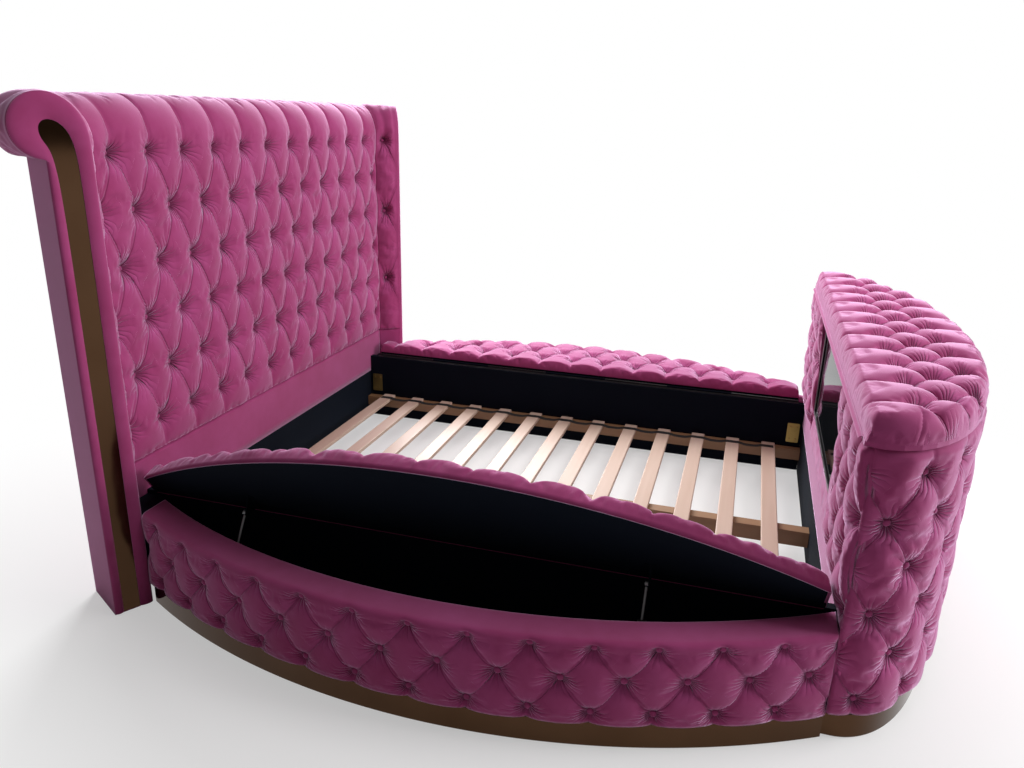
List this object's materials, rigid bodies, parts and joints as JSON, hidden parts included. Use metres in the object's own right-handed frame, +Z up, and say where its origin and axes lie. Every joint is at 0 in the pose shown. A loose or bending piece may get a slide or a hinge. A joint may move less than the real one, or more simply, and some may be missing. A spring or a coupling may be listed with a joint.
{
  "type": "tv bed",
  "caption": "Button-tufted storage bed with a rolled, winged headboard, bow-fronted side boxes under lifting lids, a slatted well and a rounded footboard holding a screen.",
  "frame": {"origin": "on the floor, at the middle of the bounding box", "axes": "+Y from the footboard towards the headboard, +Z up, +X to the side whose lid is shut"},
  "size_m": [2.33, 2.5646, 1.46],
  "materials": {
    "velvet": "button-tufted velvet",
    "lining": "board covered in dark fabric",
    "mirror_gold": "gold-tinted mirror sheet",
    "birch": "clear-coated laminated birch",
    "steel": "zinc plated",
    "black_steel": "black painted tube",
    "tv_case": "gloss black",
    "tv_glass": "dark screen glass"
  },
  "bodies": {
    "base": {"headboard_pad": "velvet", "wing_pad_near": "velvet", "wing_pad_far": "velvet", "side_pad_near": "velvet", "side_pad_far": "velvet", "foot_outer_pad": "velvet", "foot_face_pad": "velvet", "headboard_core": "lining", "head_crossboard": "lining", "foot_crossboard": "lining", "side_rail_near": "lining", "side_rail_far": "lining", "side_panel_near": "lining", "side_panel_far": "lining", "side_floor_near": "lining", "side_floor_far": "lining", "foot_panel": "lining", "foot_front_panel": "lining", "foot_floor": "lining", "wing_inlay_near": "mirror_gold", "wing_inlay_far": "mirror_gold", "side_plinth_near": "mirror_gold", "side_plinth_far": "mirror_gold", "foot_plinth": "mirror_gold", "ledger_near": "birch", "ledger_far": "birch", "centre_rail": "birch", "slat_01": "birch", "slat_02": "birch", "slat_03": "birch", "slat_04": "birch", "slat_05": "birch", "slat_06": "birch", "slat_07": "birch", "slat_08": "birch", "slat_09": "birch", "slat_10": "birch", "slat_11": "birch", "slat_12": "birch", "slat_13": "birch", "hinge_fixed_leaf_near": "steel", "hinge_fixed_leaf_far": "steel", "tv_housing": "tv_case", "tv_screen": "tv_glass"},
    "near_lid": {"lid_board_near": "lining", "lid_pad_near": "velvet", "hinge_moving_leaf_near": "steel"},
    "far_lid": {"lid_board_far": "lining", "lid_pad_far": "velvet", "hinge_moving_leaf_far": "steel"},
    "foot_lid": {"foot_lid_board": "lining", "foot_lid_pad": "velvet"},
    "near_foot_strut_cylinder": {"strut_cylinder_foot_near": "black_steel"},
    "near_foot_strut_rod": {"strut_rod_foot_near": "steel"},
    "far_foot_strut_cylinder": {"strut_cylinder_foot_far": "black_steel"},
    "far_foot_strut_rod": {"strut_rod_foot_far": "steel"},
    "near_head_strut_cylinder": {"strut_cylinder_head_near": "black_steel"},
    "near_head_strut_rod": {"strut_rod_head_near": "steel"},
    "far_head_strut_cylinder": {"strut_cylinder_head_far": "black_steel"},
    "far_head_strut_rod": {"strut_rod_head_far": "steel"}
  },
  "joints": [
    {"name": "near_lid_hinge", "type": "hinge", "parent": "base", "child": "near_lid", "pos_m": [-0.7995, -0.91975, 0.3048], "axis": [0, 1, 0], "range_deg": [-56, 0], "stiffness_Nm_per_rad": 3.55, "springref_deg": 110.21},
    {"name": "far_lid_hinge", "type": "hinge", "parent": "base", "child": "far_lid", "pos_m": [0.7995, -0.91975, 0.3048], "axis": [0, -1, 0], "range_deg": [0, 56], "stiffness_Nm_per_rad": 3.55, "springref_deg": 166.22},
    {"name": "foot_lid_hinge", "type": "hinge", "parent": "base", "child": "foot_lid", "pos_m": [0, -0.89525, 0.7755], "axis": [-1, 0, 0], "range_deg": [0, 70]},
    {"name": "near_foot_strut_cylinder_pivot", "type": "hinge", "parent": "base", "child": "near_foot_strut_cylinder", "pos_m": [-0.9695, -0.45945, 0.1348], "axis": [0, 1, 0], "range_deg": [0, 11.3]},
    {"name": "near_foot_strut_rod_pivot", "type": "hinge", "parent": "near_lid", "child": "near_foot_strut_rod", "pos_m": [-0.85349, -0.45945, 0.31529], "axis": [0, 1, 0], "range_deg": [0, 67.4]},
    {"name": "near_head_strut_cylinder_pivot", "type": "hinge", "parent": "base", "child": "near_head_strut_cylinder", "pos_m": [-0.9695, 0.70605, 0.1348], "axis": [0, 1, 0], "range_deg": [0, 11.3]},
    {"name": "near_head_strut_rod_pivot", "type": "hinge", "parent": "near_lid", "child": "near_head_strut_rod", "pos_m": [-0.85349, 0.70605, 0.31529], "axis": [0, 1, 0], "range_deg": [0, 67.4]},
    {"name": "far_foot_strut_cylinder_pivot", "type": "hinge", "parent": "base", "child": "far_foot_strut_cylinder", "pos_m": [0.9695, -0.45945, 0.1348], "axis": [0, -1, 0], "range_deg": [-13.4, 0]},
    {"name": "far_foot_strut_rod_pivot", "type": "hinge", "parent": "far_lid", "child": "far_foot_strut_rod", "pos_m": [0.83839, -0.45945, 0.26591], "axis": [0, -1, 0], "range_deg": [-69.4, 0]},
    {"name": "far_head_strut_cylinder_pivot", "type": "hinge", "parent": "base", "child": "far_head_strut_cylinder", "pos_m": [0.9695, 0.70605, 0.1348], "axis": [0, -1, 0], "range_deg": [-13.4, 0]},
    {"name": "far_head_strut_rod_pivot", "type": "hinge", "parent": "far_lid", "child": "far_head_strut_rod", "pos_m": [0.83839, 0.70605, 0.26591], "axis": [0, -1, 0], "range_deg": [-69.4, 0]}
  ],
  "couplings": [
    {"joint": "near_foot_strut_cylinder_pivot", "follows": "near_lid_hinge", "ratio": -0.199},
    {"joint": "near_foot_strut_rod_pivot", "follows": "near_lid_hinge", "ratio": -1.2},
    {"joint": "near_head_strut_cylinder_pivot", "follows": "near_lid_hinge", "ratio": -0.199},
    {"joint": "near_head_strut_rod_pivot", "follows": "near_lid_hinge", "ratio": -1.2},
    {"joint": "far_foot_strut_cylinder_pivot", "follows": "far_lid_hinge", "ratio": -0.236},
    {"joint": "far_foot_strut_rod_pivot", "follows": "far_lid_hinge", "ratio": -1.236},
    {"joint": "far_head_strut_cylinder_pivot", "follows": "far_lid_hinge", "ratio": -0.236},
    {"joint": "far_head_strut_rod_pivot", "follows": "far_lid_hinge", "ratio": -1.236}
  ]
}
